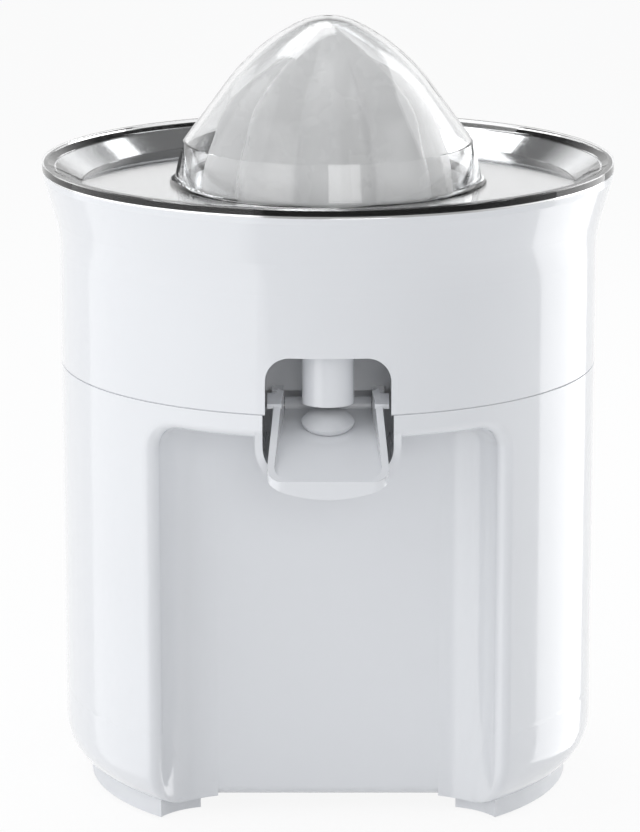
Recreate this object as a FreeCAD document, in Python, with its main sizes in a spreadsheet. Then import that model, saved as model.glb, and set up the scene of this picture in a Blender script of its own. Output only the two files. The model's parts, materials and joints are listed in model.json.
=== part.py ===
import FreeCAD, Part
import math
import os
import Sketcher
from FreeCAD import Placement, Rotation, Vector

# Electric citrus press: base with glass bay, drive, bowl with drip spout, strainer, cone and lid.
# Millimetres. The drive shaft is the Z axis, the front is -Y and the press stands on z = 0.
doc = FreeCAD.newDocument("citrus_press")
sheet = doc.addObject("Spreadsheet::Sheet", "Sizes")

DRIVING = {
    "body_rad": 96.5, "seam_lvl": 155.2, "shell_thk": 2.6, "under_round": 30.0, "under_lvl": 6.0,
    "under_edge": 18.5, "bay_half": 59.3, "bay_depth": 41.5, "bay_corner": 20.0, "bay_drop": 8.2,
    "bay_top_round": 9.0, "bay_edge_round": 3.5, "trough_half": 22.4, "trough_depth": 23.2,
    "trough_round": 12.0, "trough_thk": 2.6, "tower_rad": 12.0, "tower_rise": 4.0, "plinth_inset": 9.0,
    "plinth_wide": 17.5, "plinth_low": 1.0, "plate_thk": 2.5, "pad_rad": 7.0, "pad_thk": 3.5,
    "rim_out": 6.0, "rim_thk": 2.6, "lid_rise": 8.0, "rim_flat": 2.2, "lid_thk": 2.0,
    "well_depth": 16.0, "lid_slope": 14.0, "dome_gap": 1.6, "dome_lean": 3.0, "shoulder_rise": 14.5,
    "dome_bend_in": 19.0, "bend_rise": 36.2, "dome_rise": 59.4, "nose_rad": 10.5, "nose_round": 24.0,
    "dome_round": 70.0, "bowl_thk": 2.4, "flare_drop": 31.0, "flare_high": 20.0, "flare_out": 1.55,
    "flare_round": 40.0, "lip_inset": 0.3, "lip_high": 5.5, "bowl_lift": 25.8, "floor_rise": 6.0,
    "channel_in": 66.0, "chimney_gap": 0.8, "chimney_thk": 2.6, "chimney_rise": 10.0,
    "niche_half": 21.5, "niche_rise": 20.3, "niche_round": 8.5, "niche_depth": 39.5, "tube_rad": 9.0,
    "tube_bore": 6.8, "tube_inset": 17.9, "tray_thk": 0.8, "tray_gap": 0.3, "well_rad": 53.4,
    "bowl_depth": 23.0, "hub_rise": 9.0, "slot_wide": 1.8, "cone_gap": 5.0, "cone_inset": 6.4,
    "tip_gap": 3.8, "boss_rad": 12.5, "boss_rise": 21.0, "shaft_rad": 4.0, "shaft_rise": 35.0,
    "shaft_low": 66.0, "run_fit": 0.06, "pin_rise": 27.0, "pin_rad": 1.5, "pin_half": 11.0,
    "hinge_inset": 35.5, "hinge_drop": 4.2, "hinge_rad": 1.5, "barrel_rad": 3.2, "spout_tilt": 12.0,
    "spout_thk": 2.0, "spout_rim": 2.4, "spout_half": 20.4, "spout_back_half": 17.4, "spout_len": 47.5,
    "spout_bend": 26.0, "spout_drop": 5.9, "spout_nose": 5.0, "spout_wall": 10.0, "stopper_rad": 9.2,
    "stopper_high": 5.6, "box_low": 72.0, "box_thk": 3.0, "box_high": 107.0, "box_left": 54.0,
    "box_right": 37.0, "box_front": 37.0, "box_rear": 54.0, "box_wall": 2.2, "first_module": 0.8,
    "second_module": 0.9, "rotor_aft": 32.0, "rotor_shaft_rad": 1.5, "rotor_rad": 11.0,
    "core_low": 36.0, "core_high": 62.0, "leg_in": 13.5, "leg_wide": 12.0, "core_front": 16.0,
    "core_rear": 84.0, "yoke_wide": 11.0, "coil_thk": 6.0, "coil_front": 48.0, "coil_rear": 71.0,
    "plunger_rad": 7.0, "flange_rad": 13.0, "flange_lvl": 58.0, "spring_rad": 5.4, "wire_rad": 0.5,
    "bracket_lvl": 40.0, "bracket_thk": 2.5,
}
# Sizes that follow from those above by a named clearance
TIED = {
    "rim_rad": "body_rad + rim_out", "lip_rad": "rim_rad - lip_inset",
    "flare_rad": "body_rad + flare_out", "lid_floor_rad": "rim_rad - lid_slope",
    "plinth_rad": "body_rad - plinth_inset", "plinth_in": "plinth_rad - plinth_wide",
    "under_open": "body_rad - under_edge", "bay_back": "body_rad - bay_depth",
    "niche_back": "body_rad - niche_depth", "tube_fwd": "body_rad - tube_inset",
    "hinge_fwd": "body_rad - hinge_inset", "bay_top": "seam_lvl - bay_drop",
    "trough_low": "seam_lvl - trough_depth", "hinge_lvl": "seam_lvl - hinge_drop",
    "niche_top": "seam_lvl + niche_rise", "bowl_floor": "seam_lvl + bowl_lift",
    "well_lvl": "bowl_floor + bowl_depth", "tower_top": "well_lvl + tower_rise",
    "hub_top": "well_lvl + hub_rise", "chimney_top": "well_lvl + chimney_rise",
    "cone_base": "well_lvl + cone_gap", "lid_floor": "well_lvl + well_depth",
    "rim_top": "lid_floor + lid_rise", "lip_lvl": "rim_top - lip_high",
    "flare_lvl": "rim_top - flare_high", "flare_start": "rim_top - flare_drop",
    "dome_foot": "well_rad + dome_gap", "dome_shoulder_rad": "dome_foot - dome_lean",
    "dome_bend_rad": "dome_foot - dome_bend_in", "dome_shoulder_lvl": "lid_floor + shoulder_rise",
    "dome_bend_lvl": "lid_floor + bend_rise", "dome_apex": "lid_floor + dome_rise",
    "cone_rad": "well_rad - cone_inset", "cone_tip": "dome_apex - tip_gap",
    "boss_low": "cone_base + boss_rise", "pin_lvl": "cone_base + pin_rise",
    "shaft_top": "cone_base + shaft_rise",
}
CELLS = {alias: str(number) for alias, number in DRIVING.items()}
CELLS.update({alias: "=" + rule for alias, rule in TIED.items()})
for row, (alias, entry) in enumerate(CELLS.items(), 1):
    sheet.set("A%d" % row, alias.replace("_", " "))
    sheet.setAlias("B%d" % row, alias)
    sheet.set("B%d" % row, entry)
doc.recompute()


class Size:
    """A length that keeps its number and the sheet expression behind it."""

    def __init__(self, value, text):
        self.value = float(value)
        self.text = text

    def __add__(self, other):
        other = as_size(other)
        return Size(self.value + other.value, "(%s + %s)" % (self.text, other.text))

    def __sub__(self, other):
        other = as_size(other)
        return Size(self.value - other.value, "(%s - %s)" % (self.text, other.text))

    def __mul__(self, other):
        other = as_size(other)
        return Size(self.value * other.value, "(%s * %s)" % (self.text, other.text))

    def __truediv__(self, other):
        other = as_size(other)
        return Size(self.value / other.value, "(%s / %s)" % (self.text, other.text))

    def __neg__(self):
        return Size(-self.value, "(0 - %s)" % self.text)

    def __radd__(self, other):
        return as_size(other) + self

    def __rsub__(self, other):
        return as_size(other) - self

    __rmul__ = __mul__


def as_size(item):
    return item if isinstance(item, Size) else Size(item, "%.6f" % item)


def root(item):
    return Size(math.sqrt(item.value), "sqrt(%s)" % item.text)


class Named:
    pass


d = Named()
for alias in CELLS:
    setattr(d, alias, Size(sheet.get(alias), "Sizes." + alias))

nodes = []


def node(item, label):
    item.Label = label
    nodes.append(item)
    return item


def drive(item, prop, length):
    item.setExpression(prop, as_size(length).text)


def put(item, at):
    for axis, length in zip("xyz", at):
        drive(item, "Placement.Base." + axis, length)
    return item


def cylinder(rad, low, high, x=0, y=0):
    item = doc.addObject("Part::Cylinder", "Cylinder")
    drive(item, "Radius", rad)
    drive(item, "Height", as_size(high) - low)
    return put(item, (x, y, low))


def rod(rad, start, end, y, z):
    """A cylinder along X."""
    item = doc.addObject("Part::Cylinder", "Rod")
    item.Placement = Placement(Vector(), Rotation(Vector(0, 1, 0), 90))
    drive(item, "Radius", rad)
    drive(item, "Height", as_size(end) - start)
    return put(item, (start, y, z))


def block(x, y, z):
    """A box between the pairs of limits."""
    item = doc.addObject("Part::Box", "Block")
    for prop, pair in zip(("Length", "Width", "Height"), (x, y, z)):
        drive(item, prop, as_size(pair[1]) - pair[0])
    return put(item, (x[0], y[0], z[0]))


def joined(items):
    item = doc.addObject("Part::MultiFuse", "Joined")
    item.Shapes = items
    item.Refine = True
    return item


def cut(base, tools):
    tool = tools[0] if len(tools) == 1 else joined(tools)
    item = doc.addObject("Part::Cut", "Cut")
    item.Base = base
    item.Tool = tool
    item.Refine = True
    return item


def ring(outer, inner, low, high, x=0, y=0):
    return cut(cylinder(outer, low, high, x, y), [cylinder(inner, as_size(low) - 1, as_size(high) + 1, x, y)])


def group(shapes):
    item = doc.addObject("Part::Feature", "Group")
    item.Shape = shapes[0] if len(shapes) == 1 else Part.makeCompound(shapes)
    return item


PLANES = {"XY": "XY_Plane", "XZ": "XZ_Plane", "YZ": "YZ_Plane"}


def outline(body, plane, points, level=0):
    """A closed sketch pinned at every corner. A third entry is the radius of the arc that leads to
    the corner, positive where it turns left."""
    sketch = body.newObject("Sketcher::SketchObject", "Outline")
    role = PLANES[plane]
    sketch.AttachmentSupport = [([o for o in body.Origin.OriginFeatures if o.Role == role][0], "")]
    sketch.MapMode = "FlatFace"
    drive(sketch, "AttachmentOffset.Base.z", level)
    corners = [[as_size(c) for c in p] for p in points]
    geometry = []
    ends = []
    for i, goal in enumerate(corners):
        start = corners[i - 1]
        a = Vector(start[0].value, start[1].value, 0)
        b = Vector(goal[0].value, goal[1].value, 0)
        if len(goal) == 2:
            geometry.append(Part.LineSegment(a, b))
            ends.append((1, 2))
            continue
        rad = abs(goal[2].value)
        left = goal[2].value > 0
        chord = b - a
        across = Vector(-chord.y, chord.x, 0).normalize()
        reach = math.sqrt(max(rad ** 2 - chord.Length ** 2 / 4, 0))
        middle = (a + b) * 0.5 + across * (reach if left else -reach)
        first, last = (a, b) if left else (b, a)
        angles = [math.atan2(p.y - middle.y, p.x - middle.x) for p in (first, last)]
        geometry.append(Part.ArcOfCircle(Part.Circle(middle, Vector(0, 0, 1), rad), *angles))
        ends.append((1, 2) if left else (2, 1))
    sketch.addGeometry(geometry, False)
    count = len(corners)
    for i, goal in enumerate(corners):
        after = (i + 1) % count
        sketch.addConstraint(Sketcher.Constraint("Coincident", i, ends[i][1], after, ends[after][0]))
        for kind, axis, length in (("DistanceX", -2, goal[0]), ("DistanceY", -1, goal[1])):
            if abs(length.value) < 1e-9:
                sketch.addConstraint(Sketcher.Constraint("PointOnObject", i, ends[i][1], axis))
                continue
            spot = sketch.addConstraint(Sketcher.Constraint(kind, i, ends[i][1], length.value))
            sketch.setExpression("Constraints[%d]" % spot, length.text)
        if len(goal) == 3:
            spot = sketch.addConstraint(Sketcher.Constraint("Radius", i, abs(goal[2].value)))
            sketch.setExpression("Constraints[%d]" % spot, "abs(%s)" % goal[2].text)
    return sketch


def new_body():
    return doc.addObject("PartDesign::Body", "Body")


def revolve(points, body=None):
    body = body or new_body()
    sketch = outline(body, "XZ", points)
    turn = body.newObject("PartDesign::Revolution", "Turned")
    turn.Profile = sketch
    turn.ReferenceAxis = (sketch, ["V_Axis"])
    turn.Angle = 360
    return body


def prism(plane, points, level, length, body=None, remove=False):
    """A pad, or a pocket that runs the same way, from the level along the sketch normal."""
    body = body or new_body()
    sketch = outline(body, plane, points, level)
    step = body.newObject("PartDesign::Pocket" if remove else "PartDesign::Pad", "Prism")
    step.Profile = sketch
    step.Reversed = remove
    drive(step, "Length", length)
    return body


def polar(body, count):
    step = body.newObject("PartDesign::PolarPattern", "Around")
    step.Originals = [body.Tip]
    step.Axis = ([o for o in body.Origin.OriginFeatures if o.Role == "Z_Axis"][0], [""])
    step.Angle = 360
    step.Occurrences = count
    body.Tip = step


def round_edges(body, rad, test):
    doc.recompute()
    shape = body.Tip.Shape
    names = ["Edge%d" % (i + 1) for i, edge in enumerate(shape.Edges) if test(edge)]
    step = body.newObject("PartDesign::Fillet", "Round")
    step.Base = (body.Tip if body.Tip != step else step.BaseFeature, names)
    drive(step, "Radius", rad)
    return body


def middle(edge):
    first, last = edge.ParameterRange
    return edge.valueAt((first + last) / 2)


# Base housing
def bay(grow, front):
    half = d.bay_half + grow
    back = -(d.bay_back - grow)
    bend = d.bay_corner + grow
    return [(-half, front), (half, front), (half, back - bend), (half - bend, back, bend),
            (-half + bend, back), (-half, back - bend, bend)]


def under_curve(shrink, rad):
    """Level of the rounded underside at a radius, with the wall inset by shrink."""
    bend = d.under_round - shrink
    inset = rad - (d.body_rad - d.under_round)
    return d.under_lvl + d.under_round - root(bend * bend - inset * inset)


round_lvl = d.under_lvl + d.under_round
flat_rad = d.body_rad - d.under_round
deck_low = d.seam_lvl - d.shell_thk
bay_front = -(d.body_rad + 20)

shell = revolve([(0, d.under_lvl), (flat_rad, d.under_lvl), (d.body_rad, round_lvl, d.under_round),
                 (d.body_rad, d.seam_lvl), (0, d.seam_lvl)])
prism("XY", bay(0, bay_front), 0, d.bay_top, shell, True)


def bay_ceiling(edge):
    spot = middle(edge)
    return abs(spot.z - d.bay_top.value) < 0.01 and math.hypot(spot.x, spot.y) < d.body_rad.value - 1


def bay_rim(edge):
    spot = middle(edge)
    far = math.hypot(spot.x, spot.y)
    on_wall = abs(far - d.body_rad.value) < 0.05 and spot.z > round_lvl.value
    on_round = far > flat_rad.value and spot.z < round_lvl.value and len(edge.Vertexes) == 2
    flat = abs(edge.Vertexes[0].Z - edge.Vertexes[-1].Z) < 0.01 and spot.z < round_lvl.value + 0.1
    below = spot.z < d.seam_lvl.value - 1 and abs(spot.x) < d.bay_half.value + 0.5 and spot.y < 0
    return below and (on_wall or on_round) and not flat


round_edges(shell, d.bay_top_round, bay_ceiling)
round_edges(shell, d.bay_edge_round, bay_rim)

core_rad = d.body_rad - d.shell_thk
core = revolve([(0, -10), (d.under_open, -10), (d.under_open, under_curve(d.shell_thk, d.under_open)),
                (core_rad, round_lvl, d.under_round - d.shell_thk), (core_rad, deck_low), (0, deck_low)])
prism("XY", bay(d.shell_thk, bay_front), -12, d.bay_top + d.shell_thk + 12, core, True)


def core_ceiling(edge):
    spot = middle(edge)
    level = d.bay_top.value + d.shell_thk.value
    return abs(spot.z - level) < 0.01 and math.hypot(spot.x, spot.y) < core_rad.value - 1


round_edges(core, d.bay_top_round + d.shell_thk, core_ceiling)


def trough(grow, high):
    half = d.trough_half + grow
    low = d.trough_low - grow
    bend = d.trough_round + grow
    return [(-half, high), (-half, low + bend), (-half + bend, low, bend), (half - bend, low),
            (half, low + bend, bend), (half, high)]


trough_front = d.body_rad - 3.5
trough_back = d.bay_back - 4
trough_block = prism("XZ", trough(d.trough_thk, d.seam_lvl - 0.5), trough_back, trough_front - trough_back)
trough_void = prism("XZ", trough(0, d.seam_lvl + 20), trough_back + d.trough_thk, d.body_rad)
ring_rad = d.body_rad - d.bowl_thk - 0.8
guide_ring = ring(ring_rad, ring_rad - 3, d.seam_lvl - 1, d.seam_lvl + 4.8)
guide_gap = block((-(d.trough_half + 3), d.trough_half + 3), (-d.body_rad, -(d.bay_back - 4)),
                  (d.seam_lvl, d.seam_lvl + 10))

plate_posts = [(66, -22), (-66, -22), (42, 62), (-42, 62)]
post_rad = 4.5
plate_top = under_curve(0, d.under_open) + 0.4 + d.plate_thk
box_corners = [(d.box_right - 7, d.box_rear - 7), (-(d.box_left - 7), d.box_rear - 7),
               (d.box_right - 7, -(d.box_front - 7)), (-(d.box_left - 7), -(d.box_front - 7))]
pilot_rad = 1.3
posts = [cylinder(post_rad, plate_top, d.seam_lvl - 1, x, y) for x, y in plate_posts]
posts += [cylinder(post_rad, d.box_high, d.seam_lvl - 1, x, y) for x, y in box_corners]
pilots = [cylinder(pilot_rad, plate_top - 1, plate_top + 14, x, y) for x, y in plate_posts]
pilots += [cylinder(pilot_rad, d.box_high - 1, d.box_high + 14, x, y) for x, y in box_corners]
bush_rad = d.shaft_rad + 4
tower_bores = [cylinder(d.shaft_rad + 2, deck_low - 1, d.tower_top + 1),
               cylinder(bush_rad, d.tower_top - 14, d.tower_top + 1)]
tower = cylinder(d.tower_rad, d.seam_lvl - 1, d.tower_top)
hollow = cut(shell, [core])
solid_base = joined([hollow, trough_block, cut(guide_ring, [guide_gap]), tower] + posts)
base_housing = node(cut(solid_base, [trough_void] + pilots + tower_bores), "base_housing")

# Bottom plate with plinth, pads, vents, cord inlet and screws
arc_gap = 0.2
foot_top = under_curve(-arc_gap, d.plinth_rad)
seat_rad = d.under_open + 0.4
plate_low = under_curve(0, d.under_open) + 0.4
plate_rad = d.under_open - 0.3
plate = revolve([(0, plate_low), (d.plinth_in, plate_low), (d.plinth_in, d.plinth_low),
                 (d.plinth_rad, d.plinth_low), (d.plinth_rad, foot_top),
                 (seat_rad, under_curve(-arc_gap, seat_rad), -(d.under_round + arc_gap)),
                 (plate_rad, under_curve(-arc_gap, seat_rad)), (plate_rad, plate_top), (0, plate_top)])
prism("XY", bay(d.shell_thk + 0.3, bay_front), -1, round_lvl, plate, True)
pad_turns = (38, 142, 205, 335)
pad_ring = (d.plinth_rad + d.plinth_in) / 2
pad_spots = [(pad_ring * math.cos(math.radians(a)), pad_ring * math.sin(math.radians(a))) for a in pad_turns]
vent_wide = 2.5
inlet_aft = 58.0
inlet_rad = 5.0
plate_cuts = [cylinder(d.pad_rad + 0.05, -1, d.pad_thk, x, y) for x, y in pad_spots]
plate_cuts += [cylinder(1.8, -1, round_lvl, x, y) for x, y in plate_posts]
plate_cuts += [cylinder(3.8, -1, plate_low, x, y) for x, y in plate_posts]
plate_cuts += [block((-24, 24), (y, y + vent_wide), (0, round_lvl)) for y in range(8, 46, 7)]
plate_cuts.append(cylinder(inlet_rad, 0, round_lvl, 0, inlet_aft))
base_plate = node(cut(plate, plate_cuts), "base_plate")
for i, (x, y) in enumerate(pad_spots, 1):
    node(cylinder(d.pad_rad, 0, d.pad_thk, x, y), "foot_pad_%d" % i)
inlet_body = [ring(inlet_rad - 0.05, inlet_rad - 1.6, plate_low - 2, plate_top + 2, 0, inlet_aft),
              ring(inlet_rad + 1.8, inlet_rad - 1.6, plate_low - 2, plate_low, 0, inlet_aft),
              ring(inlet_rad + 1.8, inlet_rad - 1.6, plate_top, plate_top + 2, 0, inlet_aft)]
cord_inlet = node(joined(inlet_body), "cord_inlet")


def screw(x, y, seat, length, shank, head, tall):
    """A cross-head screw driven upward from its seat level."""
    x, y, seat = as_size(x).value, as_size(y).value, as_size(seat).value
    stem = Part.makeCylinder(shank, length, Vector(x, y, seat))
    cap = Part.makeCylinder(head, tall, Vector(x, y, seat - tall))
    body = stem.fuse(cap)
    for wide, deep in ((head * 1.2, 0.8), (0.8, head * 1.2)):
        body = body.cut(Part.makeBox(wide, deep, tall * 0.6, Vector(x - wide / 2, y - deep / 2, seat - tall)))
    return body.removeSplitter()


node(group([screw(x, y, plate_low, 15, 1.25, 3.2, 1.8) for x, y in plate_posts]), "plate_screws")

# Gearbox frame
box_floor = d.box_low + d.box_thk
box_rim = d.box_high - d.box_thk


def box_plan(inset):
    bend = 8 - inset
    left, right = -(d.box_left - inset), d.box_right - inset
    front, rear = -(d.box_front - inset), d.box_rear - inset
    return [(left + bend, front, bend), (right - bend, front), (right, front + bend, bend),
            (right, rear - bend), (right - bend, rear, bend), (left + bend, rear),
            (left, rear - bend, bend), (left, front + bend)]


frame = prism("XY", box_plan(0), d.box_low, box_rim - d.box_low)
prism("XY", box_plan(2.2), box_floor, d.box_high, frame, True)
second_span = d.second_module * 42
first_span = d.first_module * 35
idler_aft = (second_span * second_span - first_span * first_span + d.rotor_aft * d.rotor_aft) / (d.rotor_aft * 2)
idler_x = -root(second_span * second_span - idler_aft * idler_aft)
axle_rad = 2.0
columns = [cylinder(4, d.box_low, box_rim, x, y) for x, y in box_corners]
stand_spots = [(d.leg_in + d.leg_wide / 2, d.core_front + 5), (-(d.leg_in + d.leg_wide / 2), d.core_front + 5)]
stands = [cylinder(4, d.core_high, d.box_low + 1, x, y) for x, y in stand_spots]
foot_reach = 30.0
rotor_bush_rad = d.rotor_shaft_rad + 2
frame_holes = [cylinder(1.8, 0, d.box_high, x, y) for x, y in box_corners]
frame_holes += [cylinder(pilot_rad, d.core_high - 1, d.box_low + 2, x, y) for x, y in stand_spots]
frame_holes += [cylinder(pilot_rad, d.box_low - 1, d.box_low + 2.4, x, 0) for x in (-foot_reach, foot_reach)]
frame_holes += [cylinder(bush_rad, d.box_low - 5, box_floor + 5),
                cylinder(rotor_bush_rad, d.box_low - 5, box_floor + 1, 0, d.rotor_aft),
                cylinder(axle_rad, d.box_low + 1, box_floor + 1, idler_x, idler_aft)]
gearbox_frame = node(cut(joined([frame] + columns + stands), frame_holes), "gearbox_frame")
cover = prism("XY", box_plan(0), box_rim, d.box_thk)
cover_holes = [cylinder(1.8, box_rim - 1, d.box_high + 1, x, y) for x, y in box_corners]
cover_holes += [cylinder(bush_rad, box_rim - 1, d.box_high + 1),
                cylinder(axle_rad, box_rim - 1, box_rim + 2, idler_x, idler_aft)]
gearbox_cover = node(cut(cover, cover_holes), "gearbox_cover")
box_screw_len = d.box_high.value - d.box_low.value + 12
node(group([screw(x, y, d.box_low, box_screw_len, 1.25, 3.2, 1.8) for x, y in box_corners]), "gearbox_screws")
shaft_bore = d.shaft_rad + d.run_fit
node(ring(bush_rad - 0.02, shaft_bore, d.tower_top - 14, d.tower_top - 0.5), "tower_bush")
node(ring(bush_rad - 0.02, shaft_bore, box_rim, d.box_high + 2), "upper_shaft_bush")
node(ring(bush_rad - 0.02, shaft_bore, d.box_low - 2, box_floor + 1), "lower_shaft_bush")
node(ring(rotor_bush_rad - 0.02, d.rotor_shaft_rad + d.run_fit, d.box_low, box_floor, 0, d.rotor_aft),
     "upper_rotor_bush")
node(cylinder(axle_rad - 0.02, d.box_low + 1, box_rim + 2, idler_x, idler_aft), "idler_axle")


# Gears
def gear(module, teeth, low, high, x, y, turn, bore, thin=0.09):
    """A stub-tooth involute spur gear with one tooth centred on the turn angle."""
    module = module.value
    pitch = module * teeth / 2
    base = pitch * math.cos(math.radians(20))
    tip = pitch + 0.8 * module
    foot = pitch - 1.05 * module
    half = math.pi / (2 * teeth) - thin / (2 * pitch)
    lead = math.tan(math.radians(20)) - math.radians(20)

    def flank(rad):
        press = math.acos(min(base / rad, 1))
        return half + lead - (math.tan(press) - press)

    start = max(base, foot + 0.02)
    steps = [start, (start + pitch) / 2, pitch, (pitch + tip) / 2, tip]
    corners = []
    for i in range(teeth):
        mid = math.radians(turn) + 2 * math.pi * i / teeth
        side = [(foot, flank(start))] + [(rad, flank(rad)) for rad in steps]
        corners += [(rad, mid - angle) for rad, angle in side]
        corners += [(rad, mid + angle) for rad, angle in reversed(side)]
    ring_pts = [Vector(rad * math.cos(a), rad * math.sin(a), 0) for rad, a in corners]
    face = Part.Face(Part.makePolygon(ring_pts + ring_pts[:1]))
    low, high = as_size(low).value, as_size(high).value
    body = face.extrude(Vector(0, 0, high - low))
    body = body.cut(Part.makeCylinder(as_size(bore).value, high - low + 2, Vector(0, 0, -1)))
    body.translate(Vector(as_size(x).value, as_size(y).value, low))
    return body


to_rotor = math.degrees(math.atan2(d.rotor_aft.value - idler_aft.value, -idler_x.value))
to_shaft = math.degrees(math.atan2(-idler_aft.value, -idler_x.value))
first_low = box_floor + 4
first_high = first_low + 7
wide = gear(d.first_module, 56, first_low, first_high, idler_x, idler_aft, to_rotor, axle_rad + 0.06)
small = gear(d.second_module, 14, first_high, first_high + 14, idler_x, idler_aft,
             to_shaft + 180 / 14, axle_rad + 0.06)
idler = group([wide.fuse(small).removeSplitter()])
node(idler, "idler_gear")
node(group([gear(d.first_module, 14, first_low, first_high - 0.5, 0, d.rotor_aft,
                 to_rotor + 180 + 180 / 14, d.rotor_shaft_rad)]), "motor_pinion")
output_low = first_high + 3
output = gear(d.second_module, 70, output_low, output_low + 7, 0, 0, to_shaft + 180, d.shaft_rad + 0.03)
hub = Part.makeCylinder(8.5, 5, Vector(0, 0, output_low.value + 7))
hub = hub.cut(Part.makeCylinder(d.shaft_rad.value + 0.03, 7, Vector(0, 0, output_low.value + 6)))
node(group([output.fuse(hub).removeSplitter()]), "output_gear")

# Drive shaft, cross pin
shaft = cut(cylinder(d.shaft_rad, d.shaft_low, d.shaft_top), [rod(d.pin_rad + 0.02, -10, 10, 0, d.pin_lvl)])
node(shaft, "drive_shaft")
node(rod(d.pin_rad, -d.pin_half, d.pin_half, 0, d.pin_lvl), "drive_pin")

# Motor
rotor_top = first_high - 0.2
bearing_low = d.core_low - 8
node(cylinder(d.rotor_shaft_rad, bearing_low - 1, rotor_top, 0, d.rotor_aft), "rotor_shaft")
node(ring(d.rotor_rad, d.rotor_shaft_rad, d.core_low - 1, d.core_high + 1, 0, d.rotor_aft), "rotor_magnet")
leg_out = d.leg_in + d.leg_wide
stack = block((-leg_out, leg_out), (d.core_front, d.core_rear), (d.core_low, d.core_high))
gap_block = block((-d.leg_in, d.leg_in), (d.core_front - 5, d.core_rear - d.yoke_wide),
                  (d.core_low - 5, d.core_high + 5))
stack_holes = [cylinder(1.8, 0, d.box_low, x, y) for x, y in stand_spots]
node(cut(stack, [gap_block] + stack_holes), "stator_core")
bobbin_gap = 0.3
bobbin_thk = 1.2
for side, name in ((-1, "left"), (1, "right")):
    near, far = (d.leg_in - bobbin_gap, leg_out + bobbin_gap)
    xs = (near, far) if side > 0 else (-far, -near)
    zs = (d.core_low - bobbin_gap, d.core_high + bobbin_gap)
    ys = (d.coil_front, d.coil_rear)

    def sleeve(thk, front, rear):
        return block((xs[0] - thk, xs[1] + thk), (front, rear), (zs[0] - thk, zs[1] + thk))

    void = sleeve(0, d.coil_front - 5, d.coil_rear + 5)
    spool = [sleeve(bobbin_thk, *ys), sleeve(d.coil_thk + bobbin_thk, d.coil_front - 1.5, d.coil_front),
             sleeve(d.coil_thk + bobbin_thk, d.coil_rear, d.coil_rear + 1.5)]
    node(cut(joined(spool), [void]), "bobbin_" + name)
    node(cut(sleeve(d.coil_thk, *ys), [sleeve(bobbin_thk, d.coil_front - 5, d.coil_rear + 5)]), "coil_" + name)
stand_x, stand_y = stand_spots[0]
strap = [block((-(stand_x + 5), stand_x + 5), (d.core_front, d.rotor_aft + 8), (bearing_low, bearing_low + 3))]
strap += [cylinder(4, bearing_low, d.core_low, x, y) for x, y in stand_spots]
strap_holes = [cylinder(1.8, 0, d.core_high, x, y) for x, y in stand_spots]
strap_holes.append(cylinder(rotor_bush_rad, 0, d.core_low, 0, d.rotor_aft))
node(cut(joined(strap), strap_holes), "rotor_bracket")
node(ring(rotor_bush_rad - 0.02, d.rotor_shaft_rad + d.run_fit, bearing_low, bearing_low + 3, 0, d.rotor_aft),
     "lower_rotor_bush")
motor_screw_len = d.box_low.value - bearing_low.value + 1
node(group([screw(x, y, bearing_low, motor_screw_len, 1.25, 3.2, 1.8) for x, y in stand_spots]), "motor_screws")

# Press plunger, spring and switch
bracket_top = d.bracket_lvl + d.bracket_thk
plunger = joined([cylinder(d.plunger_rad, d.flange_lvl, d.shaft_low),
                  cylinder(d.flange_rad, d.flange_lvl, d.flange_lvl + 2),
                  cylinder(d.spring_rad - 1.4, bracket_top + 5, d.flange_lvl + 1)])
node(plunger, "press_plunger")
arm_out = 26.0
arm_in = 23.5
bracket = joined([block((-arm_out, arm_out), (-9, 9), (d.bracket_lvl, bracket_top)),
                  block((arm_in, arm_out), (-9, 9), (d.bracket_lvl, d.box_low)),
                  block((-arm_out, -arm_in), (-9, 9), (d.bracket_lvl, d.box_low)),
                  block((arm_in, foot_reach + 5), (-9, 9), (d.box_low - 2.5, d.box_low)),
                  block((-foot_reach - 5, -arm_in), (-9, 9), (d.box_low - 2.5, d.box_low))])
bracket_holes = [cylinder(1.8, d.box_low - 4, d.box_low + 1, x, 0) for x in (-foot_reach, foot_reach)]
node(cut(bracket, bracket_holes), "switch_bracket")
bracket_seat = d.box_low - 2.5
node(group([screw(x, 0, bracket_seat, 4.6, 1.25, 3.0, 1.6) for x in (-foot_reach, foot_reach)]),
     "bracket_screws")
button_x = 10.5
switch_high = d.flange_lvl - 4.5
switch = block((button_x - 2.5, button_x + 11), (-5, 5), (bracket_top, switch_high))
tabs = [block((button_x + 10.5, button_x + 12.8), (y - 1.5, y + 1.5), (bracket_top + 3, bracket_top + 3.8))
        for y in (-2.6, 2.6)]
button_hole = block((button_x - 1.3, button_x + 1.3), (-1.8, 1.8), (bracket_top + 2, switch_high + 1))
node(cut(joined([switch] + tabs), [button_hole]), "micro_switch")
node(block((button_x - 1, button_x + 1), (-1.5, 1.5), (switch_high - 2.5, d.flange_lvl - 0.3)), "switch_button")


def coil_spring(rad, wire, low, high, turns):
    """A round-wire spring swept along half-turn arcs, with both ends laid half a turn flat."""
    steps = turns * 4
    climb = (high - low) / steps
    path = []
    for i in range(steps):
        spots = []
        for part in (0, 0.5, 1):
            angle = math.pi / 2 * (i + part)
            spots.append(Vector(rad * math.cos(angle), rad * math.sin(angle), low + climb * (i + part)))
        path.append(Part.Arc(*spots).toShape())
    spine = Part.Wire(path)
    begin = spine.Edges[0]
    along = begin.tangentAt(begin.FirstParameter)
    section = Part.Wire([Part.Circle(begin.valueAt(begin.FirstParameter), along, wire).toShape()])
    pipe = Part.BRepOffsetAPI.MakePipeShell(spine)
    pipe.add(section)
    pipe.build()
    pipe.makeSolid()
    return pipe.shape()


spring_low = bracket_top.value + d.wire_rad.value + 0.05
spring_high = d.flange_lvl.value - d.wire_rad.value - 0.05
node(group([coil_spring(d.spring_rad.value, d.wire_rad.value, spring_low, spring_high, 5)]), "return_spring")

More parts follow.
